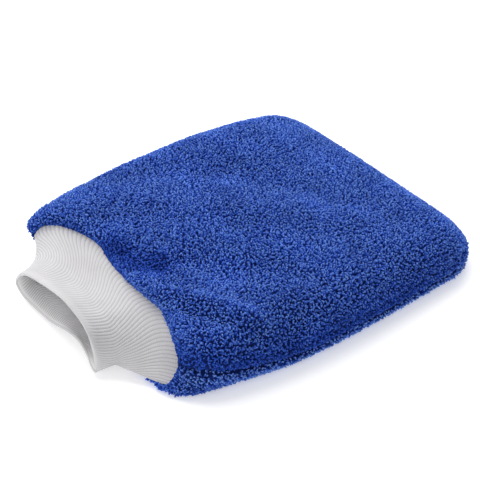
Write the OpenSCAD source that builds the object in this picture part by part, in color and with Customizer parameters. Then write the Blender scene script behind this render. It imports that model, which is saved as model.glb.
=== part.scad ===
// Wash mitt: a flat pillow of terry cloth with a rib-knit cuff.
// The terry body is two panels sewn together round three sides and turned right side out.
// The cuff is a tube of rib knit, folded double, sewn into the open end of the body.
// Millimetres, +Z up, the mitt lies on its lower panel. +X points from the cuff to the finger end.

/* [Terry body] */
// Length of the terry body from the sides of its mouth to the finger end
body_length = 200; // [170:1:230]
// Greatest width of the terry body
body_width = 191; // [170:1:210]
// Width of the terry body at its shoulders, beside the cuff
shoulder_width = 164; // [155:1:168]
// Width of the terry body near the finger end, before its corners round off
tip_width = 184; // [165:1:186]
// Height of the middle of the body above the table
body_height = 33.5; // [31:0.5:40]
// Height of the body at its shoulders
shoulder_height = 30.5; // [30:0.5:32]
// Height of the body just inside the finger end
tip_height = 23; // [22:0.5:28]
// Radius in plan of the two corners at the finger end
corner_radius = 30; // [26:1:36]
// How far in from the edge seam the upper panel takes to roll over to its top
upper_roll = 24; // [20:1:26]
// How far in from the edge seam the lower panel takes to reach the table
lower_roll = 8; // [7:0.5:9]
// Thickness of the upper panel, pile included
upper_thickness = 7; // [5:0.5:8]
// Thickness of the lower panel, pile included
lower_thickness = 5; // [4:0.5:5.5]
// Height of the edge seam at the shoulders
shoulder_seam_height = 14; // [12:0.5:15]
// Height of the edge seam along the rest of the body
seam_height = 7; // [7:0.5:8]

/* [Mouth] */
// Width of the mouth that the cuff is sewn into
mouth_width = 137; // [132:1:139]
// Height above the table of the top of the mouth
mouth_top = 28.4; // [28:0.2:28.6]
// Height above the table of the bottom of the mouth
mouth_bottom = 5; // [4:0.2:5.2]
// How far the upper edge of the mouth lies in from its sides
mouth_upper_inset = 14; // [12:1:15]
// How far the lower edge of the mouth reaches out past its sides
mouth_lower_reach = 12; // [8:1:13]

/* [Rib cuff] */
// How far the rim stands out from the sides of the mouth
cuff_reach = 26; // [24:1:32]
// Width of the cuff where it is sewn into the mouth
cuff_seam_width = 134; // [130:1:134]
// Width of the cuff's flat rim
cuff_rim_width = 87; // [84:1:92]
// Height above the table of the top of the rim
cuff_rim_top = 33; // [30:0.5:34]
// How far the cuff leans to the far side at its rim
cuff_lean = 9; // [0:1:10]
// Thickness of the cuff's wall, two layers of rib knit
cuff_thickness = 2.6; // [2:0.1:2.8]

/* [Stitching] */
// Diameter of the overlock stitching that wraps the cut edges
overlock_d = 1.8; // [1.4:0.1:1.8]
// Diameter of the needle thread beside it
needle_thread_d = 0.9; // [0.8:0.1:1]

/* [Hidden] */

terry_blue = [0.11, 0.23, 0.62];
rib_white = [0.90, 0.89, 0.88];
thread_blue = [0.07, 0.13, 0.42];
thread_white = [0.95, 0.95, 0.94];

// The origin is under the middle of the whole mitt, cuff included.
origin_x = (body_length - cuff_reach) / 2;
// The body reaches its full width this far from the mouth.
flare_length = 83;
// Over this length from the mouth the edge seam comes down to its lower level.
seam_drop_length = 60;
// The rolled lip of the mouth: its length, and how much it takes off the width and the height.
lip_length = 12;
lip_side = 8;
lip_top = 0.6;
// The curve of the mouth's edge fades out over this length.
mouth_fade_length = 60;
// The mouth sits this much off the middle, and the offset fades out over the second value.
mouth_offset = 3.5;
mouth_offset_length = 30;
// The crown of the upper panel, above its rolled edges.
crown = 1.5;

// The cuff narrows from its seam to its rim as this power of the way left to go.
cuff_taper = 2.6;
// Heights of the cuff where it is sewn in: its top, its side folds and its bottom.
cuff_seam_top = 27.8;
cuff_seam_fold = 14;
cuff_seam_bottom = 5.8;
// How much lower its side folds and its bottom lie at the rim, and how far its top dips between.
cuff_fold_drop = 5.5;
cuff_bottom_drop = 3;
cuff_waist = 3.6;
// Room between the end of the cuff and the mouth's edge, so that the cuff can bend.
cuff_gap_side = 0.5;
cuff_gap_top = 1;
cuff_gap_bottom = 2;
// How far along the cuff its needle thread runs, as a share of the cuff's length.
cuff_needle_share = 0.28;
// Free space between that thread and the inside of the cuff.
thread_gap = 0.9;
// The overlock stitching lies inward of the middle of the cuff's wall, and this far off its end.
overlock_inward = 0.9;
overlock_gap = 1.2;
// The edge stitching starts this far inside the mouth, and lies this far above the seam.
edge_start = 26;
edge_needle_raise = 0.6;
edge_overlock_raise = 1.5;
// Room between the overlock stitching and the inside of the edge seam.
edge_overlock_inset = 3.6;
edge_needle_inset = 0.9;

// Steps in each rolled edge, across the flat part and along the body.
roll_steps = 5;
flat_steps = 8;
side_stations = 11;
end_stations = 6;
cuff_sides = 36;
cuff_stations = 7;
thread_sides = 8;
edge_steps = 14;
corner_steps = 6;

// ---- Shared shape functions ----

// A quarter ellipse: 0 at the seam, 1 once the panel has rolled over.
function rolled(share) = sqrt(1 - pow(1 - min(max(share, 0), 1), 2));
function ramp(x, length) = pow(max(0, 1 - x / length), 2);

// Half the body's width at x, where length is where its end lies.
function half_width(x, length) =
    let (grown = sin(90 * min(max(x, 0) / flare_length, 1)),
         narrowed = max(0, (x - flare_length) / (length - flare_length)),
         corner = min(1, max(0, (x - length + corner_radius) / corner_radius)))
    (shoulder_width + (body_width - shoulder_width) * grown
        - (body_width - tip_width) * narrowed) / 2
        - corner_radius * (1 - sqrt(1 - corner * corner));

// Height of the edge seam.
function seam_z(x) = seam_height + (shoulder_seam_height - seam_height) * ramp(x, seam_drop_length);

// Height of the upper panel before its edges roll down.
function top_z(x) =
    x < body_length / 3
        ? shoulder_height + (body_height - shoulder_height) * sin(90 * x / (body_length / 3))
        : body_height + (tip_height - body_height) * pow((x - body_length / 3) / (body_length * 2 / 3), 2);

// Places along the body: evenly to the start of the end roll, then closer together.
function stations() = concat(
    [0, lip_length / 4, lip_length / 2, lip_length],
    [for (i = [1 : side_stations])
        lip_length + (body_length - upper_roll - lip_length) * i / side_stations],
    [for (i = [1 : end_stations]) body_length - upper_roll * (1 - sin(90 * i / end_stations))]
);

// Across one section, from -1 at the near seam to 1 at the far seam: [side, roll angle] on a
// rolled edge, [share of the flat part, 90] on the flat.
function across() = concat(
    [for (i = [0 : roll_steps]) [-1, 90 * i / roll_steps]],
    [for (i = [1 : flat_steps - 1]) [-1 + 2 * i / flat_steps, 90]],
    [for (i = [roll_steps : -1 : 0]) [1, 90 * i / roll_steps]]
);

// One point of a section: half width w, roll length r, seam height s, and height h once rolled.
function section_y(place, w, r) = place[0] * (w - r * (1 - cos(place[1]) * (abs(place[0]) == 1 ? 1 : 0)));
function section_z(place, s, h) = s + (h - s) * sin(place[1]);

// How far the mouth's edge moves along X at a point y across, for an edge that moves by amount.
function mouth_shift(y, x, amount) =
    amount * (1 - pow(min(1, abs(y - mouth_offset) / (mouth_width / 2)), 4)) * ramp(x, mouth_fade_length);

// A finished point in the mitt's own frame.
function placed(x, y, z, amount) =
    [x + mouth_shift(y, x, amount) - origin_x, y, z];

// ---- The two panels ----

function lip(x) = 1 - rolled(x / lip_length);
function outer_half(x) = half_width(x, body_length) - lip_side * lip(x);
function inner_half(x) =
    let (inside = half_width(x, body_length) - upper_thickness)
    inside + (mouth_width / 2 - inside) * ramp(x, lip_length);
function middle(x) = mouth_offset * ramp(x, mouth_offset_length);
// The inside ends a panel's thickness short of the finger end.
function inner_x(x) =
    x - upper_thickness * pow(max(0, (x - seam_drop_length) / (body_length - seam_drop_length)), 4);

function upper_outer() = [
    for (x = stations(), p = across())
        let (s = seam_z(x),
             end_share = rolled((body_length - x) / upper_roll),
             h = s + (top_z(x) - lip_top * lip(x) - s) * end_share,
             y = section_y(p, outer_half(x), upper_roll),
             bulge = abs(p[0]) < 1 ? crown * (1 - p[0] * p[0]) * end_share * (1 - lip(x)) : 0)
        placed(x, y, section_z(p, s, h) + bulge, mouth_upper_inset)
];
function upper_inner() = [
    for (x = stations(), p = across())
        let (s = seam_z(x),
             top = max(s, top_z(x) - upper_thickness),
             raised = top + (mouth_top - top) * ramp(x, lip_length),
             h = s + (raised - s) * rolled((body_length - x) / upper_roll),
             y = section_y(p, inner_half(x), upper_roll - upper_thickness) + middle(x))
        placed(inner_x(x), y, section_z(p, s, h), mouth_upper_inset)
];
function lower_outer() = [
    for (x = stations(), p = across())
        let (s = seam_z(x),
             h = s * (1 - rolled((body_length - x) / lower_roll)),
             y = section_y(p, outer_half(x), lower_roll))
        placed(x, y, section_z(p, s, h), -mouth_lower_reach)
];
function lower_inner() = [
    for (x = stations(), p = across())
        let (s = seam_z(x),
             floor_z = lower_thickness + (mouth_bottom - lower_thickness) * ramp(x, lip_length),
             h = s - (s - floor_z) * rolled((body_length - x) / lower_roll),
             y = section_y(p, inner_half(x), lower_roll) + middle(x))
        placed(inner_x(x), y, section_z(p, s, h), -mouth_lower_reach)
];

// Faces of a thick sheet: rows by cols points on its upper side, then as many on its lower side.
function sheet_faces(rows, cols) =
    let (below = rows * cols)
    concat(
        [for (i = [0 : rows - 2], j = [0 : cols - 2])
            let (a = i * cols + j, b = a + 1, c = a + cols + 1, d = a + cols)
            each [[a, b, c], [a, c, d],
                  [below + a, below + c, below + b], [below + a, below + d, below + c]]],
        [for (i = [0 : rows - 2])
            let (a = i * cols, d = a + cols, e = a + cols - 1, f = d + cols - 1)
            each [[below + a, a, d], [below + a, d, below + d],
                  [e, below + e, below + f], [e, below + f, f]]],
        [for (j = [0 : cols - 2])
            let (a = j, b = j + 1, c = (rows - 1) * cols + j, d = c + 1)
            each [[below + b, b, a], [below + b, a, below + a],
                  [below + c, c, d], [below + c, d, below + d]]]
    );

module panel(upper_side, lower_side) {
    polyhedron(concat(upper_side, lower_side), sheet_faces(len(stations()), len(across())), 4);
}

module upper_panel() {
    color(terry_blue) panel(upper_outer(), upper_inner());
}

module lower_panel() {
    color(terry_blue) panel(lower_inner(), lower_outer());
}

// ---- The cuff ----

// The cuff's size at share v of the way from the seam (0) to the rim (1).
function cuff_half(v) =
    (cuff_rim_width + (cuff_seam_width - cuff_rim_width) * pow(1 - v, cuff_taper)) / 2;
function cuff_fold_z(v) = cuff_seam_fold - cuff_fold_drop * v;
function cuff_top(v) =
    cuff_seam_top + (cuff_rim_top - cuff_seam_top) * v * v - cuff_waist * sin(180 * pow(v, 0.8));
function cuff_bottom(v) = cuff_seam_bottom - cuff_bottom_drop * v;
function cuff_middle(v) = mouth_offset + (cuff_lean - mouth_offset) * v;
// Where the cuff starts along X at angle a round it, just short of the mouth's edge.
function cuff_start(a) =
    (sin(a) > 0 ? mouth_upper_inset - cuff_gap_top : -mouth_lower_reach - cuff_gap_bottom)
        * (1 - pow(abs(cos(a)), 4)) - cuff_gap_side;

// One ring round the cuff, moved in from its outer face by inset, and by ahead along X.
function cuff_ring(v, inset, ahead) = [
    for (i = [0 : cuff_sides - 1])
        let (a = 360 * i / cuff_sides,
             lift = pow(abs(sin(a)), 0.85) * sign(sin(a)),
             rise = lift > 0 ? cuff_top(v) - inset - cuff_fold_z(v) : cuff_fold_z(v) - cuff_bottom(v) - inset)
        [cuff_start(a) * (1 - v) - cuff_reach * v + ahead - origin_x,
         cuff_middle(v) + (cuff_half(v) - inset) * cos(a),
         cuff_fold_z(v) + rise * lift]
];

// Faces of a closed skin over rings of the same number of points. A looped skin joins its last
// ring to its first; otherwise both ends are capped.
function skin_faces(rings, sides, looped) = concat(
    [for (r = [0 : rings - (looped ? 1 : 2)], s = [0 : sides - 1])
        let (a = r * sides + s,
             b = r * sides + (s + 1) % sides,
             c = (r + 1) % rings * sides + (s + 1) % sides,
             d = (r + 1) % rings * sides + s)
        each [[a, b, c], [a, c, d]]],
    looped ? [] : [
        [for (s = [sides - 1 : -1 : 0]) s],
        [for (s = [0 : sides - 1]) (rings - 1) * sides + s]
    ]
);

module rib_cuff() {
    outside = [for (i = [0 : cuff_stations]) cuff_ring(i / cuff_stations, 0, 0)];
    inside = [for (i = [cuff_stations : -1 : 0]) cuff_ring(i / cuff_stations, cuff_thickness, 0)];
    rings = concat(outside, inside);
    color(rib_white)
        polyhedron([for (ring = rings) each ring], skin_faces(len(rings), cuff_sides, true), 4);
}

// ---- The stitching ----

// Two directions square to a path at its point i. The path never runs along the given axis.
function square_to(path, i, looped, axis) =
    let (n = len(path),
         before = path[looped ? (i + n - 1) % n : max(0, i - 1)],
         after = path[looped ? (i + 1) % n : min(n - 1, i + 1)],
         along = (after - before) / norm(after - before),
         side = cross(axis, along) / norm(cross(axis, along)))
    [side, cross(side, along)];

// A tube of diameter d along a path, looped or with capped ends.
module thread(path, d, looped, axis) {
    points = [
        for (i = [0 : len(path) - 1])
            let (square = square_to(path, i, looped, axis))
            for (k = [0 : thread_sides - 1])
                path[i] + d / 2 * (cos(360 * k / thread_sides) * square[0]
                    + sin(360 * k / thread_sides) * square[1])
    ];
    polyhedron(points, skin_faces(len(path), thread_sides, looped), 4);
}

// The path of a thread that lies inset from the inside of the panels and raised above the seam.
function edge_side(inset, raised, side) =
    let (reach = body_length - upper_thickness - inset)
    [for (i = [0 : edge_steps + corner_steps])
        let (x = i <= edge_steps
                ? edge_start + (reach - corner_radius - edge_start) * i / edge_steps
                : reach - corner_radius * (1 - sin(90 * (i - edge_steps) / corner_steps)))
        [x - origin_x, side * (half_width(x, reach) - upper_thickness - inset), seam_z(x) + raised]];
function reversed(list) = [for (i = [len(list) - 1 : -1 : 0]) list[i]];
function edge_path(inset, raised) =
    concat(edge_side(inset, raised, -1), reversed(edge_side(inset, raised, 1)));

module edge_needle_thread() {
    color(thread_blue)
        thread(edge_path(edge_needle_inset, edge_needle_raise), needle_thread_d, false, [0, 0, 1]);
}

module edge_overlock_thread() {
    color(thread_blue)
        thread(edge_path(edge_overlock_inset, edge_overlock_raise), overlock_d, false, [0, 0, 1]);
}

// The needle thread lies against the inside of the cuff.
module cuff_needle_thread() {
    inset = cuff_thickness + needle_thread_d / 2 + thread_gap;
    color(thread_white)
        thread(cuff_ring(cuff_needle_share, inset, 0), needle_thread_d, true, [1, 0, 0]);
}

// The overlock stitching runs round the cut end of the cuff.
module cuff_overlock_thread() {
    inset = cuff_thickness / 2 + overlock_inward;
    color(thread_white)
        thread(cuff_ring(0, inset, overlock_d / 2 + overlock_gap), overlock_d, true, [1, 0, 0]);
}

upper_panel();
lower_panel();
rib_cuff();
edge_needle_thread();
edge_overlock_thread();
cuff_needle_thread();
cuff_overlock_thread();
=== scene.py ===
"""A blue terry wash mitt with a white rib-knit cuff, lying on a pale table.

Lengths in the shape functions are millimetres, measured from the sides of the mitt's mouth towards
its finger end. Everything is moved into the row frame, in metres, as each mesh is made.
"""

import math

import bpy
import numpy as np
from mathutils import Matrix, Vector


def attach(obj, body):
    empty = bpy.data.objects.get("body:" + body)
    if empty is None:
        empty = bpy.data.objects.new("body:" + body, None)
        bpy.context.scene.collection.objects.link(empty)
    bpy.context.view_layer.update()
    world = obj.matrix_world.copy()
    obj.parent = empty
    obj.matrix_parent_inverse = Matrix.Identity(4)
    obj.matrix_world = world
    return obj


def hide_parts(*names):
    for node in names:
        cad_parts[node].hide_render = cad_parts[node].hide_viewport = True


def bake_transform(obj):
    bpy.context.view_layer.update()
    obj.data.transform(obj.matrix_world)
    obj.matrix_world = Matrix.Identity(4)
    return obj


# Terry body: its length, widths and heights, and how far in its panels roll over.
BODY_LENGTH = 200.0
BODY_WIDTH = 191.0
SHOULDER_WIDTH = 164.0
TIP_WIDTH = 186.0
BODY_HEIGHT = 33.5
SHOULDER_HEIGHT = 30.5
TIP_HEIGHT = 23.0
CORNER_RADIUS = 30.0
UPPER_ROLL = 24.0
LOWER_ROLL = 8.0
CROWN = 1.5

# The body widens over its first stretch, and its edge seam drops from the shoulder over another.
FLARE_LENGTH = 83.0
SHOULDER_SEAM_HEIGHT = 16.0
SEAM_HEIGHT = 7.0
SEAM_DROP_LENGTH = 75.0

# The origin of the row frame, along the body from its mouth.
ORIGIN_X = 87.0

# How finely the body is divided: at the mouth, between, at the end, and over a panel's sides and middle.
MOUTH_STEPS = 15
LENGTH_STEPS = 140
END_STEPS = 25
SIDE_STEPS = 30
MIDDLE_STEPS = 80

# Flat cuts of the cloth, in metres.
UPPER_CUT = (0.22, 0.215)
LOWER_CUT = (0.195, 0.215)

# How the terry comes down onto the cuff. Two hidden rows of its cloth run on down inside.
MOUTH_FADE_LENGTH = 60.0
UPPER_MOUTH_ROLL = 14.0
LOWER_MOUTH_ROLL = 11.0
MOUTH_GAP = 0.5
SHOULDER_LOBE = 6.0
TUCK_STEP = 0.8

# Folds of the upper panel: height (a dip is below 0), width, and path in plan.
FOLDS = [
    (-4.0, 6.5, [(19, 5), (20, -7), (26, -17)]),
    (4.2, 6.0, [(5, -19), (12, -33), (21, -44), (34, -65), (42, -81)]),
    (-3.0, 7.0, [(17, -56), (25, -70), (33, -88)]),
    (2.2, 4.0, [(31, 2), (31, -10), (30, -20)]),
    (-3.2, 9.0, [(40, -20), (46, -30), (50, -42)]),
    (1.5, 8.0, [(58, -5), (64, -20), (68, -30)]),
    (-1.5, 9.0, [(66, -50), (80, -66), (86, -90)]),
    (-2.0, 11.0, [(71, 62), (107, 32), (132, -3), (146, -26)]),
    (1.6, 11.0, [(20, 52), (39, 55), (72, 12), (115, -24), (136, -50)]),
]

# Swells of the far side: height, centre and width along it, and where across they start and are whole.
SWELLS = [(-1.8, 60, 24, 46, 72), (0.7, 26, 14, 40, 75), (2.6, 145, 50, 20, 70)]

# The flat shelf beside the cuff: its height where it starts, and how it climbs.
SHELF_START = 12.0
SHELF_HEIGHT = 28.0
SHELF_SLOPE = 0.4
SHELF_LOWEST = 28.2

# The groove at the edge seam, and the soft crease on the near side above it.
GROOVE_DEPTH = 4.0
GROOVE_WIDTH = 1.7
CREASE_DEPTH = 1.6
CREASE_WIDTH = 1.6
CREASE_HEIGHT = 13.5

# Terry pile. The loops stand a little prouder than the pile's nominal height.
PILE_HEIGHT = 1.5
LOOP_HEIGHT = PILE_HEIGHT + 0.3
LOWER_PILE_SHARE = 0.85
LOOP_PITCH = 1.2
LOOP_FULLNESS = 1.04
SLOPE_REACH = 0.8
JITTER_ALONG = 0.22 * LOOP_PITCH
JITTER_ACROSS = 0.24 * LOOP_PITCH
YARN_RADIUS = 0.36
YARN_RINGS = 5
YARN_SIDES = 4
LOOPS_PER_PIECE = 6000
ABOVE_TABLE = 0.12

# Where painted shade darkens the pile: in the dimple beside the cuff, and along the near side of the
# edge seam.
PAINTED_DIMPLE_SHADE = [(17, 16), (17, 2), (20, -8), (26, -14)]
PAINTED_DIMPLE_SHADE_WIDTH = 7.5
SEAM_SHADE_BAND_WIDTH = 13
SEAM_SHADE_LINE_WIDTH = 2.0
SEAM_LINE_PAINTED_SHADE = 1.7

# Rib cuff. A ring is a closed curve with a few steps between each two of its points.
RIBS = 122
RIB_DEPTH = 0.14
POINTS_PER_RIB = 6
CUFF_WALL = 1.9
CUFF_ROWS = 64
RIM_STEPS = 12
OPEN_ROWS = 7
RING_STEPS = 24
NEAR_SEAM_POINT = 11
COURSE_PITCH = 0.9

# The notch on the near side of the cuff: its place round the cuff and its width, as shares.
NOTCH_PLACE = 0.61
NOTCH_WIDTH = 0.07

# Tones of the cuff's crests: outside, and how much painted light lightens them inside.
CREST_TONE = 0.7
PAINTED_LIGHT_INSIDE = 0.3

# The cuff's seam.
CUFF_STITCHES = 110
POINTS_PER_STITCH = 8
NEEDLE_THREAD_RADIUS = 0.22
OVERLOCK_THREAD_RADIUS = 0.28
THREAD_SIDES = 6
THREAD_LOWEST = 0.8

# Colours from the darkest to the lightest, each with its place on the tone's scale.
# The pile's darkest colour is painted shade at the roots of the loops.
PILE_COLOURS = [(0.0, (0.003, 0.014, 0.13)), (0.45, (0.018, 0.084, 0.54)), (1.0, (0.19, 0.37, 0.9))]
# The ground's dark blue is partly its own colour and partly painted shade between the loops.
GROUND_COLOURS = [(0.3, (0.003, 0.01, 0.06)), (0.7, (0.01, 0.03, 0.2))]
# The knit's greys below its crest tone are painted shade in the grooves between the ribs; its lightest
# colour is painted light inside the cuff.
KNIT_COLOURS = [
    (0.0, (0.49, 0.48, 0.495)),
    (0.35, (0.635, 0.625, 0.635)),
    (0.7, (0.665, 0.655, 0.665)),
    (1.0, (0.92, 0.91, 0.92)),
]
WHITE_THREAD_COLOURS = [(0.35, (0.5, 0.49, 0.5)), (0.65, (0.66, 0.65, 0.65))]
BLUE_THREAD_COLOURS = [(0.35, (0.01, 0.03, 0.16)), (0.65, (0.03, 0.07, 0.32))]

# The camera looks at a point in the mitt: angles in degrees, lengths in metres.
CAMERA_LENS = 82.6
CAMERA_AZIMUTH = -37.12
CAMERA_ELEVATION = 37.41
CAMERA_DISTANCE = 0.63056
CAMERA_TARGET = (0.00121, -0.00355, 0.0136)

SEED = 7


# ---- Small helpers ----


def unit(vectors):
    """The vectors at unit length."""
    length = np.linalg.norm(vectors, axis=-1, keepdims=True)
    return vectors / np.maximum(length, 1e-9)


def bump_at(value, centre, width):
    """A bell curve of the given width, 1 at the centre."""
    return np.exp(-(((value - centre) / width) ** 2))


def smooth(low, high, value):
    """0 up to low, 1 from high on, and smooth between them."""
    share = np.clip((value - low) / (high - low), 0, 1)
    return share * share * (3 - 2 * share)


def to_line(points, start, end):
    """Distance in plan from each point to the line from start to end."""
    start = np.array(start, float)
    along = np.array(end, float) - start
    offset = points[..., :2] - start
    share = np.clip((offset @ along) / (along @ along), 0, 1)
    return np.linalg.norm(offset - share[..., None] * along, axis=-1)


def to_path(points, path):
    """Distance in plan from each point to a path of straight stretches."""
    return np.min([to_line(points, a, b) for a, b in zip(path, path[1:])], axis=0)


def grid_normals(grid, turn=1.0):
    """Unit normals of a grid of points, by differences along its rows and columns."""
    normals = np.cross(np.gradient(grid, axis=0), np.gradient(grid, axis=1))
    return unit(normals) * turn


def lengths_along(line):
    """The length along a line at each of its points."""
    return np.concatenate([[0], np.cumsum(np.linalg.norm(np.diff(line, axis=0), axis=1))])


def lookup(values, length, at):
    """The values, given as points at some lengths along a line, at other lengths."""
    return np.stack([np.interp(at, length, values[:, k]) for k in range(3)], axis=1)


def evenly(line, shares):
    """Points at the given shares of a line's length."""
    length = lengths_along(line)
    return lookup(line, length, shares * length[-1])


def row_frame(points):
    """Points in millimetres from the mouth as metres in the row frame."""
    return (points - np.array([ORIGIN_X, 0, 0])) * 0.001


def make_mesh(name, points, quads):
    """A smooth mesh object from points in millimetres and quads."""
    mesh = bpy.data.meshes.new(name)
    mesh.vertices.add(len(points))
    mesh.vertices.foreach_set("co", row_frame(points).astype(np.float32).ravel())
    mesh.loops.add(quads.size)
    mesh.loops.foreach_set("vertex_index", quads.astype(np.int32).ravel())
    mesh.polygons.add(len(quads))
    mesh.polygons.foreach_set("loop_start", np.arange(0, quads.size, 4, dtype=np.int32))
    mesh.update(calc_edges=True)
    mesh.shade_smooth()
    piece = bpy.data.objects.new(name, mesh)
    bpy.context.scene.collection.objects.link(piece)
    return piece


def grid_quads(rows, columns, closed=False):
    """Quads of a grid of points. A closed grid joins its last column to its first."""
    row, column = np.meshgrid(
        np.arange(rows - 1), np.arange(columns - (0 if closed else 1)), indexing="ij"
    )
    after = (column + 1) % columns
    corners = [(row, column), (row, after), (row + 1, after), (row + 1, column)]
    return np.stack([r * columns + c for r, c in corners], axis=-1).reshape(-1, 4)


def set_attribute(piece, name, values):
    """A number at each vertex, for the materials."""
    attribute = piece.data.attributes.new(name, "FLOAT", "POINT")
    attribute.data.foreach_set("value", np.asarray(values, np.float32).ravel())


def plan_uv(piece):
    """A UV layer laid out by the vertices' place in plan."""
    mesh = piece.data
    index = np.zeros(len(mesh.loops), np.int32)
    mesh.loops.foreach_get("vertex_index", index)
    place = np.zeros(len(mesh.vertices) * 3, np.float32)
    mesh.vertices.foreach_get("co", place)
    plan = place.reshape(-1, 3)[index, :2]
    low, high = plan.min(0), plan.max(0)
    layer = mesh.uv_layers.new(name="OFBake")
    layer.data.foreach_set("uv", (0.01 + 0.98 * (plan - low) / (high - low)).ravel())


# ---- Shape of the terry body ----


def rolled(share):
    """A quarter ellipse: 0 at the seam, 1 once the panel has rolled over."""
    return np.sqrt(1 - (1 - np.clip(share, 0, 1)) ** 2)


def ramp(x, length):
    """1 at the mouth, easing to 0 a length away from it."""
    return np.maximum(0, 1 - x / length) ** 2


def half_width(x):
    """Half the body's width: it flares from the shoulders, narrows a little and rounds off."""
    grown = np.sin(np.pi / 2 * np.clip(x / FLARE_LENGTH, 0, 1))
    narrowed = np.maximum(0, (x - FLARE_LENGTH) / (BODY_LENGTH - FLARE_LENGTH))
    corner = np.clip((x - BODY_LENGTH + CORNER_RADIUS) / CORNER_RADIUS, 0, 1)
    width = SHOULDER_WIDTH + (BODY_WIDTH - SHOULDER_WIDTH) * grown
    width -= (BODY_WIDTH - TIP_WIDTH) * narrowed
    return width / 2 - CORNER_RADIUS * (1 - np.sqrt(1 - corner**2))


def seam_z(x):
    """Height of the edge seam."""
    return SEAM_HEIGHT + (SHOULDER_SEAM_HEIGHT - SEAM_HEIGHT) * ramp(x, SEAM_DROP_LENGTH)


def top_z(x):
    """Height of the upper panel: it rises over the first third and slopes down from there."""
    third = BODY_LENGTH / 3
    front = SHOULDER_HEIGHT + (BODY_HEIGHT - SHOULDER_HEIGHT) * np.sin(
        np.pi / 2 * np.clip(x / third, 0, 1)
    )
    share = np.clip((x - third) / (2 * third), 0, 1)
    return np.where(x < third, front, BODY_HEIGHT + (TIP_HEIGHT - BODY_HEIGHT) * share**2)


def stations(mouth_roll, end_roll):
    """Places along the body, closer together where it rolls over at the mouth and at the end."""
    mouth = mouth_roll * (1 - np.cos(np.linspace(0, np.pi / 2, MOUTH_STEPS)[:-1]))
    flat = np.linspace(mouth_roll, BODY_LENGTH - end_roll, LENGTH_STEPS)
    turn = np.linspace(0, np.pi / 2, END_STEPS)[1:]
    return np.concatenate([mouth, flat, BODY_LENGTH - end_roll * (1 - np.sin(turn))])


def section(x, roll, seam, height, crown, columns):
    """One section across a panel, from the near seam to the far seam, evenly spaced."""
    side = half_width(x)
    turn = np.linspace(0, np.pi / 2, SIDE_STEPS)
    near_y = -side + roll * (1 - np.cos(turn))
    near_z = seam + (height - seam) * np.sin(turn)
    flat = np.linspace(-1, 1, MIDDLE_STEPS)[1:-1]
    flat_z = height + crown * (1 - flat**2)
    y = np.concatenate([near_y, flat * (side - roll), -near_y[::-1]])
    z = np.concatenate([near_z, flat_z, near_z[::-1]])
    line = np.stack([np.full(len(y), x), y, z], axis=1)
    return evenly(line, np.linspace(0, 1, columns))


def seam_distance(grid):
    """Distance over the panel from each point to the edge seam, at its sides and at its end."""
    across = np.cumsum(np.linalg.norm(np.diff(grid, axis=1, prepend=grid[:, :1]), axis=2), axis=1)
    along = np.cumsum(np.linalg.norm(np.diff(grid, axis=0, prepend=grid[:1]), axis=2), axis=0)
    side = np.minimum(across, across[:, -1:] - across)
    return np.minimum(side, along[-1:] - along)


def join_cuff(grid, places, edge, roll, lobe):
    """Brings the mouth's rows down onto the cuff's seam. The lobe leans them out over it."""
    columns = grid.shape[1]
    target = evenly(edge, np.linspace(0, 1, columns))
    share = np.linspace(0, 1, columns)
    lean = lobe * bump_at(share, 0.95, 0.09)
    grid[..., 0] += (target[:, 0] - lean) * ramp(places, MOUTH_FADE_LENGTH)[:, None]
    close = (1 - rolled(places / roll))[:, None, None]
    return grid * (1 - close) + target * close


def sculpt_upper(grid, places):
    """The shelf, the folds and the swells, and the waves of the upper panel."""
    x, y, z = grid[..., 0], grid[..., 1], grid[..., 2]
    loose = smooth(14, 24, z) * rolled(places / 10)[:, None]
    lowest = np.minimum(z, SHELF_LOWEST)
    beside_cuff = smooth(-14, -5, y) * (1 - smooth(12, 32, y)) * rolled(places / 6)[:, None]
    shelf = SHELF_HEIGHT + SHELF_SLOPE * (x - SHELF_START)
    z = z + beside_cuff * np.minimum(0, shelf - z)
    raised = np.zeros_like(z)
    for height, width, path in FOLDS:
        raised += height * bump_at(to_path(grid, path), 0, width)
    for height, centre, width, start, whole in SWELLS:
        raised += height * smooth(start, whole, y) * bump_at(x, centre, width)
    # Long slow waves, and shorter ones that cross them.
    wave = 0.9 * np.sin(x / 21 + y / 37 + 0.6) * np.sin(y / 25 - x / 60 + 1.1)
    wave += 0.35 * np.sin(x / 8.3 - y / 14 + 0.9) * np.sin(y / 9.7 + x / 23)
    grid[..., 2] = np.maximum(z + loose * (raised + wave), lowest)


def pull_seam(grid, outward):
    """Draws the panel in along the edge seam, and along the soft crease above it."""
    x, y, z = grid[..., 0], grid[..., 1], grid[..., 2]
    mouth = np.linalg.norm(grid - grid[:1], axis=2)
    depth = GROOVE_DEPTH * bump_at(seam_distance(grid), 0, GROOVE_WIDTH) * smooth(0, 9, mouth)
    broken = 0.6 + 0.4 * np.sin(x / 5.1 + 0.8) * np.sin(x / 3.3)
    window = smooth(45, 75, x) * (1 - smooth(182, 196, x)) * (y < 0)
    depth += CREASE_DEPTH * broken * window * bump_at(z, CREASE_HEIGHT, CREASE_WIDTH)
    grid -= outward * depth[..., None]


def tucked(grid, normals):
    """The panel with two more rows that run down inside the cuff's wall."""
    inward = unit(grid[0] - grid[1]) * 0.3 - normals[0]
    more = [grid[0] + step * TUCK_STEP * inward for step in (2, 1)]
    return np.concatenate([more, grid])


def panel(places, roll, columns, shape, turn):
    """The pile's outer surface over one panel, and its normals."""
    grid = np.array([section(x, roll, *shape(x), columns) for x in places])
    # The finger half lies a millimetre nearer, and so does the far edge before it.
    slide = smooth(70, 120, grid[..., 0])
    slide = slide + 0.8 * bump_at(grid[..., 0], 60, 45) * (grid[..., 1] > 60)
    grid[..., 1] -= slide
    return grid, grid_normals(grid, turn)


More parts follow.
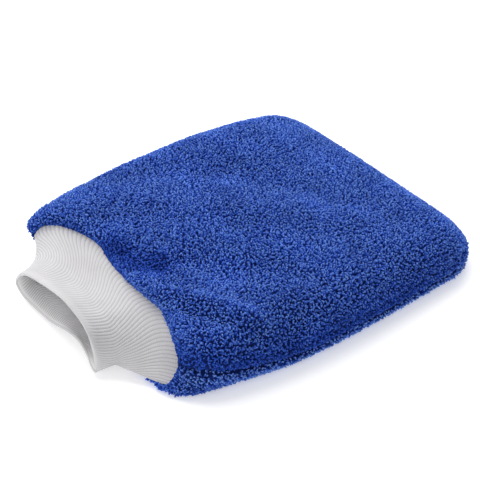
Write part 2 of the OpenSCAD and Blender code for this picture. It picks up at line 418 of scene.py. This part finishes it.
def upper_shape(x):
    """The upper panel's seam height, full height and crown at a place along the body."""
    seam = seam_z(x)
    end = float(rolled((BODY_LENGTH - x) / UPPER_ROLL))
    return seam, seam + (top_z(x) - seam) * end, CROWN * end


def lower_shape(x):
    """The lower panel's seam height, lowest height and crown at a place along the body."""
    seam = seam_z(x)
    return seam, seam * (1 - float(rolled((BODY_LENGTH - x) / LOWER_ROLL))), 0


def sideways(normals):
    """The normals laid level."""
    return unit(normals * np.array([1, 1, 0]))


def mouth_edge(first, last):
    """The cuff's seam between two of its points, a little outside the cuff."""
    ring = closed_curve(CUFF_SEAM, RING_STEPS)
    along = unit(np.roll(ring, -1, axis=0) - np.roll(ring, 1, axis=0))
    outside = ring + unit(np.cross([-1.0, 0, 0], along)) * MOUTH_GAP
    chosen = np.arange(first * RING_STEPS, last * RING_STEPS + 1) % len(ring)
    return outside[chosen]


def upper_ground(columns):
    """The upper panel's ground cloth, under its pile, and its outward normals."""
    places = stations(UPPER_MOUTH_ROLL, UPPER_ROLL)
    grid, normals = panel(places, UPPER_ROLL, columns, upper_shape, 1.0)
    grid = grid - normals * PILE_HEIGHT
    edge = mouth_edge(0, NEAR_SEAM_POINT)[::-1]
    grid = join_cuff(grid, places, edge, UPPER_MOUTH_ROLL, SHOULDER_LOBE)
    sculpt_upper(grid, places)
    pull_seam(grid, sideways(grid_normals(grid)))
    return grid, grid_normals(grid)


def lower_ground(columns):
    """The lower panel's ground cloth and its outward normals."""
    places = stations(LOWER_MOUTH_ROLL, LOWER_ROLL)
    grid, normals = panel(places, LOWER_ROLL, columns, lower_shape, -1.0)
    grid = grid - normals * PILE_HEIGHT * LOWER_PILE_SHARE
    edge = mouth_edge(NEAR_SEAM_POINT, len(CUFF_SEAM))
    grid = join_cuff(grid, places, edge, LOWER_MOUTH_ROLL, 0)
    pull_seam(grid, sideways(grid_normals(grid, -1.0)))
    return grid, grid_normals(grid, -1.0)


# ---- Pile ----


def scatter(grid, normals, short, to_seam, rng):
    """Places for the loops: down each column, a pitch apart, with some jitter."""
    gaps = np.linalg.norm(np.diff(grid, axis=1), axis=2)
    gaps = np.concatenate([gaps, gaps[:, -1:]], axis=1)
    places, ups, alongs, shorts, seams = [], [], [], [], []
    for k in range(grid.shape[1]):
        line, up = grid[:, k], normals[:, k]
        length = lengths_along(line)
        count = int(length[-1] / LOOP_PITCH)
        at = (np.arange(count) + rng.uniform(0.1, 0.9)) * length[-1] / count
        at = np.clip(at + rng.normal(0, JITTER_ALONG, count), 0, length[-1])
        gap = np.interp(at, length, gaps[:, k])
        at = at[rng.random(count) < gap / LOOP_PITCH * LOOP_FULLNESS]
        places.append(lookup(line, length, at))
        ups.append(lookup(up, length, at))
        alongs.append(lookup(line, length, at + SLOPE_REACH) - lookup(line, length, at - SLOPE_REACH))
        shorts.append(np.interp(at, length, short[:, k]))
        seams.append(np.interp(at, length, to_seam[:, k]))
    place, up = np.concatenate(places), unit(np.concatenate(ups))
    along = np.concatenate(alongs)
    along = unit(along - (along * up).sum(1, keepdims=True) * up)
    across = np.cross(up, along)
    place = place + across * rng.normal(0, JITTER_ACROSS, (len(place), 1))
    return place, up, along, across, np.concatenate(shorts), np.concatenate(seams)


def nap(place):
    """How the pile leans along and across the panel, in slow patches."""
    x, y = place[:, :1], place[:, 1:2]
    along = 0.3 * np.sin(x / 17 + y / 29 + 0.4) * np.sin(y / 13 - x / 35)
    across = 0.3 * np.sin(y / 16 - x / 26 + 1.9) * np.sin(x / 12 + y / 31 + 0.7)
    return along, across


def loop_arches(place, up, along, across, height, rng):
    """The middle line of each loop, an arch, and the direction square to it over the cloth."""
    count = len(place)
    turn = rng.uniform(0, np.pi, (count, 1))
    flat = np.cos(turn) * along + np.sin(turn) * across
    square = np.cross(up, flat)
    nap_along, nap_across = nap(place)
    lean = (nap_along + rng.normal(0, 0.35, (count, 1))) * along
    lean += (nap_across + rng.normal(0, 0.35, (count, 1))) * across
    tall = height[:, None] * rng.uniform(0.8, 1.2, (count, 1))
    wide = rng.uniform(0.75, 1.25, (count, 1))
    curl = rng.normal(0, 0.2, (count, 1))
    centres = []
    for u in np.linspace(0, 1, YARN_RINGS):
        rise = math.sin(math.pi * u)
        centres.append(
            place
            - flat * wide / 2 * math.cos(math.pi * u) * (0.8 + 0.4 * rise)
            + up * (tall * rise**0.8 - 0.5)
            + lean * tall * rise**1.5
            + square * curl * math.sin(2 * math.pi * u)
        )
    return np.stack(centres, axis=1), square


def yarn_loops(place, up, along, across, height, bright, rng):
    """Little arches of yarn, one at each place. Returns points, quads and the pile's tone."""
    count = len(place)
    steps = np.linspace(0, 1, YARN_RINGS)
    centres, square = loop_arches(place, up, along, across, height, rng)
    bright = bright[:, None] * rng.uniform(0.52, 1.0, (count, 1))
    tangent = unit(np.gradient(centres, axis=1))
    first = unit(square[:, None] - (square[:, None] * tangent).sum(2, keepdims=True) * tangent)
    second = np.cross(tangent, first)
    thick = YARN_RADIUS * (0.7 + 0.36 * np.sin(np.pi * steps))[None, :, None]
    thick = thick * rng.uniform(0.88, 1.15, (count, 1, 1))
    angle = 2 * np.pi * (np.arange(YARN_SIDES) + 0.5) / YARN_SIDES
    ring = first[:, :, None] * np.cos(angle)[:, None] + second[:, :, None] * np.sin(angle)[:, None]
    points = centres[:, :, None] + thick[..., None] * ring
    points[..., 2] = np.maximum(points[..., 2], ABOVE_TABLE)
    one = grid_quads(YARN_RINGS, YARN_SIDES, closed=True)
    starts = np.arange(count)[:, None, None] * YARN_RINGS * YARN_SIDES
    quads = (starts + one[None]).reshape(-1, 4)
    # Painted shade: each loop's tone drops towards its roots, where the loops shade each other.
    tone = bright * (0.22 + 0.78 * np.sin(np.pi * steps) ** 1.6)[None]
    tone = np.repeat(tone[..., None], YARN_SIDES, axis=2)
    return points.reshape(-1, 3), quads, tone.ravel()


def painted_pile_shade(place, short, to_seam, bright, dark):
    """The pile's brightness, with painted shade: darker where it is short, in the dimple, at the near
    seam and low down by the mouth.
    """
    # Painted shade on the near side, away from the lamp, strongest along the edge seam.
    near = dark * smooth(10, 60, -place[:, 1]) * (1 - 0.8 * smooth(120, 180, place[:, 0]))
    # Painted shade where the loops are short, in the seam's groove and at the mouth.
    shade = bright * (0.25 + 0.75 * short)
    shade = shade * (1 - near * bump_at(to_seam, 0, SEAM_SHADE_BAND_WIDTH))
    shade = shade * (1 - SEAM_LINE_PAINTED_SHADE * near * bump_at(to_seam, 0, SEAM_SHADE_LINE_WIDTH))
    # Painted shade in the dimple beside the cuff.
    shade = shade * (1 - dark * bump_at(to_path(place, PAINTED_DIMPLE_SHADE), 0, PAINTED_DIMPLE_SHADE_WIDTH))
    # Painted shade low down near the mouth.
    low = 1 - smooth(6, 14, place[:, 2])
    return shade * (1 - 0.35 * low * bump_at(place[:, 0], 0, 40))


def make_pile(name, grid, normals, bright, dark, material, rng):
    """The pile over one panel, in pieces that each hold a few thousand loops."""
    to_seam = seam_distance(grid)
    to_mouth = np.linalg.norm(grid - grid[:1], axis=2)
    short = 1 - 0.5 * np.maximum(bump_at(to_seam, 0, 2.2), bump_at(to_mouth, 0, 2.2))
    place, up, along, across, short, to_seam = scatter(grid, normals, short, to_seam, rng)
    shade = painted_pile_shade(place, short, to_seam, bright, dark)
    order = np.argsort(place[:, 0], kind="stable")
    parts = max(1, math.ceil(len(order) / LOOPS_PER_PIECE))
    pieces = []
    for number, chosen in enumerate(np.array_split(order, parts)):
        points, quads, tone = yarn_loops(
            place[chosen], up[chosen], along[chosen], across[chosen], LOOP_HEIGHT * short[chosen],
            shade[chosen], rng,
        )
        piece = make_mesh(f"{name}_{number + 1:02d}", points, quads)
        set_attribute(piece, "tone", tone)
        plan_uv(piece)
        piece.data.materials.append(material)
        pieces.append(piece)
    return pieces


# ---- Cuff ----

# Points round the cuff's outside: from the far fold over the top to the near fold, and back below.
CUFF_SEAM = [
    (-3, 73, 10.5), (0.5, 70, 18), (5.5, 60, 23.5), (10.5, 44, 26), (13, 26, 27), (10, 9, 27),
    (9, -9, 27), (9.5, -26, 27), (11, -38, 25.5), (8.5, -50, 21), (6.5, -58, 14), (4, -63, 8.5),
    (-4, -66, 3.8), (-8, -60, 3.4), (-9, -44, 3.4), (-10, -22, 3.4), (-10, 2, 3.4),
    (-9, 26, 3.4), (-5, 50, 3.6), (0, 67, 5),
]
CUFF_NECK = [
    (-14, 53, 11), (-12, 50.5, 16.5), (-9, 44, 20), (-7, 35, 22), (-6, 24, 22), (-7, 11, 22),
    (-8, -3, 23.5), (-9, -15, 24.3), (-9.5, -25, 23.8), (-10, -33.5, 20.3), (-12, -39.5, 15.3),
    (-16, -43, 10), (-20, -42, 7.5), (-20, -36, 5.5), (-20, -26, 4.5), (-20, -13, 5),
    (-20, 2, 5), (-20, 18, 3.5), (-19, 33, 3.5), (-17, 46, 5),
]
CUFF_RIM = [
    (-28, 47.5, 8), (-27.2, 44, 15), (-26.3, 37.5, 19.5), (-26, 28, 23), (-26, 17.5, 26),
    (-26, 6, 29), (-26, -5, 31), (-26, -15, 30.5), (-26, -24, 28.5), (-26.3, -31, 24.5),
    (-26.7, -34.8, 18), (-27.2, -36.3, 10), (-27.7, -36.8, 3.2), (-27.2, -31, 3.2),
    (-26.6, -24, 5.5), (-26, -14, 7.2), (-26, -2, 5.8), (-27, 13, 2.6), (-27.8, 27, 2.2),
    (-28.2, 40, 3),
]


def closed_curve(points, steps):
    """A smooth closed curve through points, with the given steps between each two."""
    points = np.array(points, float)
    u = (np.arange(steps) / steps)[:, None]
    line = []
    for i in range(len(points)):
        a, b, c, d = (points[(i + k) % len(points)] for k in (-1, 0, 1, 2))
        line.append(
            b
            + 0.5 * u * (c - a)
            + u**2 * (a - 2.5 * b + 2 * c - 0.5 * d)
            + u**3 * (1.5 * (b - c) + 0.5 * (d - a))
        )
    return np.concatenate(line)


def cuff_outside(shares, columns):
    """The outside of the cuff: a ring at each share of the way from the seam to the rim."""
    seam, neck, rim = (closed_curve(p, RING_STEPS) for p in (CUFF_SEAM, CUFF_NECK, CUFF_RIM))
    share = np.arange(columns) / columns
    # The ribs slant between the seam and the rim, and lie wider apart on top than below.
    twist = 0.058 + 0.034 * np.cos(2 * np.pi * (share - 0.15))
    stretch = 0.06 * np.sin(2 * np.pi * (share - 0.17))
    stretch += 0.012 * np.sin(4 * np.pi * (share - 0.2))
    # At the notch the cuff runs straight to its neck and straight out again.
    place = np.arange(len(seam)) / len(seam)
    pinch = bump_at(place, NOTCH_PLACE, NOTCH_WIDTH)[:, None]
    rings = []
    for v in shares:
        curved = (
            seam * (1 - v) * (1 - 2 * v) + neck * 4 * v * (1 - v) + rim * v * (2 * v - 1)
        )
        if v < 0.5:
            straight = seam * (1 - 2 * v) + neck * 2 * v
        else:
            straight = neck * (2 - 2 * v) + rim * (2 * v - 1)
        ring = curved * (1 - pinch) + straight * pinch
        at = (share + stretch + twist * smooth(0.06, 0.68, v)) % 1
        rings.append(evenly(np.concatenate([ring, ring[:1]]), at))
    return np.array(rings)


def closed_normals(grid):
    """Unit normals of a grid whose columns close on themselves."""
    around = np.roll(grid, -1, axis=1) - np.roll(grid, 1, axis=1)
    return unit(np.cross(around, np.gradient(grid, axis=0)))


def rib_wave(columns):
    """The ribs round the cuff, from -1 to 1: broad crests with narrow grooves between them."""
    wave = 0.5 + 0.5 * np.cos(2 * np.pi * RIBS * np.arange(columns) / columns)
    return 1 - 2 * (1 - wave) ** 3


def rim_rows(outside, normals):
    """The rows that roll over the rim, from the outer layer to the inner one."""
    wall = CUFF_WALL / 2
    middle = outside[-1] - normals[-1] * wall
    ahead = unit(outside[-1] - outside[-4])
    rows = []
    for turn in np.radians(np.linspace(90, -90, RIM_STEPS)[1:-1]):
        rows.append(middle + normals[-1] * wall * np.sin(turn) + ahead * wall * 1.6 * np.cos(turn))
    return np.array(rows)


def make_cuff(shares, outside, normals, material):
    """The rib-knit tube, folded double at the rim, with every rib."""
    columns = outside.shape[1]
    rib = rib_wave(columns)
    fade = 1 - 0.6 * smooth(0.9, 1, shares)
    outer_rows = outside + normals * (RIB_DEPTH * fade[:, None] * rib[None])[..., None]
    rolled_rows = rim_rows(outside, normals)

    # The inner layer runs back from the rim and ends a few rows short of the seam.
    inner = np.arange(len(outside) - 1, OPEN_ROWS, -1)
    in_fade = 1 - smooth(0.85, 1, shares[inner])
    in_depth = CUFF_WALL + 0.5 * RIB_DEPTH * in_fade[:, None] * rib[None]
    inner_rows = outside[inner] - normals[inner] * in_depth[..., None]

    rows = np.concatenate([outer_rows, rolled_rows, inner_rows])
    quads = grid_quads(len(rows), columns, closed=True)[:, ::-1]
    piece = make_mesh("cuff_knit", rows.reshape(-1, 3), quads)
    # Painted shade: the grooves between the ribs get a greyer tone, on the rim a little less.
    low = 0.5 - 0.5 * rib
    tone = np.concatenate(
        [
            CREST_TONE * (1 - fade[:, None] * low),
            np.repeat(CREST_TONE * (1 - 0.4 * low)[None], len(rolled_rows), axis=0),
            # Painted light: the inner layer is lighter, against the shade inside the cuff.
            CREST_TONE * (1 - in_fade[:, None] * low) + PAINTED_LIGHT_INSIDE,
        ]
    )
    set_attribute(piece, "rib", tone)
    lengths = np.linalg.norm(np.diff(rows, axis=0), axis=2).mean(axis=1)
    course = np.concatenate([[0], np.cumsum(lengths)])
    set_attribute(piece, "course", np.repeat(course[:, None], columns, axis=1))
    piece.data.materials.append(material)
    return piece


# ---- Stitching ----


def make_thread(name, line, radius, material):
    """A round thread along a closed line of points, kept above the table."""
    line[:, 2] = np.maximum(line[:, 2], THREAD_LOWEST)
    tangent = unit(np.roll(line, -1, axis=0) - np.roll(line, 1, axis=0))
    first = unit(np.cross([[1.0, 0, 0]], tangent))
    second = np.cross(tangent, first)
    angle = 2 * np.pi * np.arange(THREAD_SIDES) / THREAD_SIDES
    ring = first[:, None] * np.cos(angle)[None, :, None]
    ring = ring + second[:, None] * np.sin(angle)[None, :, None]
    points = line[:, None] + radius * ring
    points = np.concatenate([points, points[:1]])
    quads = grid_quads(len(points), THREAD_SIDES, closed=True)
    piece = make_mesh(name, points.reshape(-1, 3), quads)
    piece.data.materials.append(material)
    return piece


def cuff_threads(outside, normals, material):
    """The two threads of the cuff seam, which hold the cuff inside the terry's mouth."""
    count = CUFF_STITCHES * POINTS_PER_STITCH
    at = np.arange(count) / count
    wave = 2 * np.pi * CUFF_STITCHES * at
    line = evenly(np.concatenate([outside[0], outside[0][:1]]), at)
    out = evenly(np.concatenate([normals[0], normals[0][:1]]), at)
    # The needle thread dips through the cloth, and the overlock thread winds round its edge.
    needle = line + out * (0.2 * np.cos(wave) - 0.7)[:, None]
    needle[:, 0] += 1.2
    overlock = line - out * (CUFF_WALL / 2 + 0.9 + 1.3 * np.cos(wave))[:, None]
    overlock[:, 0] += 1.4 + 0.7 * np.sin(wave)
    return (
        make_thread("cuff_needle_stitches", needle, NEEDLE_THREAD_RADIUS, material),
        make_thread("cuff_overlock_stitches", overlock, OVERLOCK_THREAD_RADIUS, material),
    )


# ---- Materials ----


def new_material(name):
    """An empty material with a Principled shader. Returns the material, its nodes and shader."""
    material = bpy.data.materials.new(name)
    material.use_nodes = True
    nodes = material.node_tree.nodes
    shader = next(n for n in nodes if n.type == "BSDF_PRINCIPLED")
    return material, nodes, material.node_tree.links, shader


def ramp_node(nodes, stops):
    """A colour ramp with the given (place, colour) stops."""
    node = nodes.new("ShaderNodeValToRGB")
    while len(node.color_ramp.elements) < len(stops):
        node.color_ramp.elements.new(0.5)
    for element, (place, colour) in zip(node.color_ramp.elements, stops):
        element.position = place
        element.color = (*colour, 1)
    return node


def noise_node(nodes, links, scale, detail):
    """Noise in the object's own coordinates."""
    place = nodes.new("ShaderNodeTexCoord")
    node = nodes.new("ShaderNodeTexNoise")
    node.inputs["Scale"].default_value = scale
    node.inputs["Detail"].default_value = detail
    links.new(place.outputs["Object"], node.inputs["Vector"])
    return node


def varied(nodes, links, colour, noise, low, high):
    """The colour, made darker and lighter by noise."""
    spread = nodes.new("ShaderNodeMapRange")
    spread.inputs["From Min"].default_value = 0.3
    spread.inputs["From Max"].default_value = 0.7
    spread.inputs["To Min"].default_value = low
    spread.inputs["To Max"].default_value = high
    links.new(noise.outputs["Fac"], spread.inputs["Value"])
    mixed = nodes.new("ShaderNodeVectorMath")
    mixed.operation = "SCALE"
    links.new(colour, mixed.inputs[0])
    links.new(spread.outputs["Result"], mixed.inputs["Scale"])
    return mixed.outputs["Vector"]


def pile_material():
    """Blue microfibre yarn: painted shade darkens it towards the roots, lighter at the tips, with a soft
    sheen.
    """
    material, nodes, links, shader = new_material("terry_pile")
    tone = nodes.new("ShaderNodeAttribute")
    tone.attribute_name = "tone"
    colours = ramp_node(nodes, PILE_COLOURS)
    links.new(tone.outputs["Fac"], colours.inputs["Fac"])
    patches = noise_node(nodes, links, 45, 3)
    links.new(
        varied(nodes, links, colours.outputs["Color"], patches, 0.88, 1.12),
        shader.inputs["Base Color"],
    )
    shader.inputs["Roughness"].default_value = 0.85
    shader.inputs["Specular IOR Level"].default_value = 0.15
    shader.inputs["Sheen Weight"].default_value = 0.1
    shader.inputs["Sheen Roughness"].default_value = 0.5
    shader.inputs["Sheen Tint"].default_value = (0.45, 0.6, 1.0, 1)
    return material


def ground_material():
    """The close blue knit that the loops grow from, painted dark: partly its own colour, partly painted
    shade between the loops.
    """
    material, nodes, links, shader = new_material("terry_ground")
    fine = noise_node(nodes, links, 900, 2)
    colours = ramp_node(nodes, GROUND_COLOURS)
    links.new(fine.outputs["Fac"], colours.inputs["Fac"])
    links.new(colours.outputs["Color"], shader.inputs["Base Color"])
    shader.inputs["Roughness"].default_value = 0.95
    shader.inputs["Specular IOR Level"].default_value = 0.1
    return material


def cuff_material():
    """White rib knit: painted shade greys it between the ribs and painted light lightens its inside,
    with fine rows of stitches.
    """
    material, nodes, links, shader = new_material("rib_knit")
    rib = nodes.new("ShaderNodeAttribute")
    rib.attribute_name = "rib"
    colours = ramp_node(nodes, KNIT_COLOURS)
    links.new(rib.outputs["Fac"], colours.inputs["Fac"])
    patches = noise_node(nodes, links, 120, 3)
    links.new(
        varied(nodes, links, colours.outputs["Color"], patches, 0.97, 1.03),
        shader.inputs["Base Color"],
    )
    course = nodes.new("ShaderNodeAttribute")
    course.attribute_name = "course"
    rows = nodes.new("ShaderNodeMath")
    rows.operation = "MULTIPLY"
    rows.inputs[1].default_value = 2 * math.pi / COURSE_PITCH
    wave = nodes.new("ShaderNodeMath")
    wave.operation = "SINE"
    bump = nodes.new("ShaderNodeBump")
    bump.inputs["Strength"].default_value = 0.25
    bump.inputs["Distance"].default_value = 0.0002
    links.new(course.outputs["Fac"], rows.inputs[0])
    links.new(rows.outputs["Value"], wave.inputs[0])
    links.new(wave.outputs["Value"], bump.inputs["Height"])
    links.new(bump.outputs["Normal"], shader.inputs["Normal"])
    shader.inputs["Roughness"].default_value = 0.9
    shader.inputs["Specular IOR Level"].default_value = 0.2
    shader.inputs["Sheen Weight"].default_value = 0.1
    return material


def thread_material(name, stops):
    """Spun thread: fine flecks of two close tones."""
    material, nodes, links, shader = new_material(name)
    fine = noise_node(nodes, links, 1500, 2)
    colours = ramp_node(nodes, stops)
    links.new(fine.outputs["Fac"], colours.inputs["Fac"])
    links.new(colours.outputs["Color"], shader.inputs["Base Color"])
    shader.inputs["Roughness"].default_value = 0.7
    return material


# ---- The object ----


def make_terry(rng):
    """Both terry panels: ground cloth and pile."""
    ground, pile = ground_material(), pile_material()
    # The lower panel's pile is painted brighter (1.45), painted light for the light the pale table
    # throws up onto it; the upper panel carries painted shade (0.42) near its seam and in the dimple.
    for name, node, build, width, bright, dark in (
        ("upper_terry", "upper_panel", upper_ground, UPPER_CUT[0], 1.0, 0.42),
        ("lower_terry", "lower_panel", lower_ground, LOWER_CUT[0], 1.45, 0.0),
    ):
        grid, normals = build(int(width * 1000 / LOOP_PITCH) + 1)
        loops = make_pile(f"{name}_pile", grid, normals, bright, dark, pile, rng)
        rows = tucked(grid, normals)
        cloth = make_mesh(
            f"{name}_ground", rows.reshape(-1, 3), grid_quads(rows.shape[0], rows.shape[1])
        )
        cloth.data.materials.append(ground)
        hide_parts(node)
        for piece in [cloth, *loops]:
            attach(piece, "mitt")


def make_sewn_cuff():
    """The cuff and its seam's threads."""
    shares = np.linspace(0, 1, CUFF_ROWS)
    outside = cuff_outside(shares, RIBS * POINTS_PER_RIB)
    normals = closed_normals(outside)
    if ((outside - outside.mean(axis=(0, 1))) * normals).sum() < 0:
        normals = -normals
    cuff = make_cuff(shares, outside, normals, cuff_material())
    white = thread_material("white_thread", WHITE_THREAD_COLOURS)
    needle, overlock = cuff_threads(outside, normals, white)
    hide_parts("rib_cuff")
    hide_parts("cuff_needle_thread")
    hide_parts("cuff_overlock_thread")
    for piece in (cuff, needle, overlock):
        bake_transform(piece)


def colour_edge_threads(frame):
    """The edge seam's threads keep their own shapes and get their material."""
    blue = thread_material("blue_thread", BLUE_THREAD_COLOURS)
    for node in ("edge_needle_thread", "edge_overlock_thread"):
        materials = frame["nodes"][node].data.materials
        materials.clear()
        materials.append(blue)


# ---- Table, lights and camera ----


def make_table():
    """A plain pale table."""
    bpy.ops.mesh.primitive_plane_add(size=12, location=(0, 0, 0))
    table = bpy.context.object
    table.name = "table"
    material, _, _, shader = new_material("table_white")
    shader.inputs["Base Color"].default_value = (0.95, 0.95, 0.955, 1)
    shader.inputs["Roughness"].default_value = 0.9
    shader.inputs["Specular IOR Level"].default_value = 0.1
    shader.inputs["Emission Color"].default_value = (1, 1, 1, 1)
    shader.inputs["Emission Strength"].default_value = 0.34
    table.data.materials.append(material)


def make_lamp(name, size, energy, place):
    """A soft rectangular lamp that points at the mitt."""
    lamp = bpy.data.lights.new(name, "AREA")
    lamp.shape = "RECTANGLE"
    lamp.size = size[0]
    lamp.size_y = size[1]
    lamp.energy = energy
    holder = bpy.data.objects.new(name, lamp)
    holder.location = place
    holder.rotation_euler = (-Vector(place)).to_track_quat("-Z", "Y").to_euler()
    bpy.context.scene.collection.objects.link(holder)


def make_lights():
    """Soft studio light: a bright room, a large lamp above and behind, and a weak one at the cuff."""
    world = bpy.data.worlds.new("studio")
    world.use_nodes = True
    background = world.node_tree.nodes["Background"]
    background.inputs["Color"].default_value = (1, 1, 1, 1)
    background.inputs["Strength"].default_value = 0.5
    bpy.context.scene.world = world
    make_lamp("overhead", (1.4, 1.1), 14, (0.3, 0.65, 0.9))
    make_lamp("fill", (0.5, 0.5), 1.5, (-0.9, -0.15, 0.35))
    bpy.context.scene.view_settings.view_transform = "Standard"


def make_camera():
    """The camera, above and in front of the near corner of the cuff."""
    camera = bpy.data.cameras.new("camera")
    camera.lens = CAMERA_LENS
    camera.sensor_width = 36
    azimuth = math.radians(CAMERA_AZIMUTH)
    elevation = math.radians(CAMERA_ELEVATION)
    back = Vector(
        (
            math.sin(azimuth) * math.cos(elevation),
            -math.cos(azimuth) * math.cos(elevation),
            math.sin(elevation),
        )
    )
    holder = bpy.data.objects.new("camera", camera)
    holder.location = Vector(CAMERA_TARGET) + back * CAMERA_DISTANCE
    holder.rotation_euler = (-back).to_track_quat("-Z", "Y").to_euler()
    bpy.context.scene.collection.objects.link(holder)
    bpy.context.scene.camera = holder


# ---- The scene ----

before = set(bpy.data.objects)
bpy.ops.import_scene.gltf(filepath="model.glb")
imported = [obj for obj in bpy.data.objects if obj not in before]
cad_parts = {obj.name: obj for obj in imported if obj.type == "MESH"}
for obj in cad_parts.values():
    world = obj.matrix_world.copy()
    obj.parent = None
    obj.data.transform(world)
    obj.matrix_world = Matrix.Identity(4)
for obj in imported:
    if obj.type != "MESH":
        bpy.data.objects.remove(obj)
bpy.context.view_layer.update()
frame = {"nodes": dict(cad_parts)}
make_camera()
make_lights()
make_table()
make_terry(np.random.default_rng(SEED))
make_sewn_cuff()
colour_edge_threads(frame)
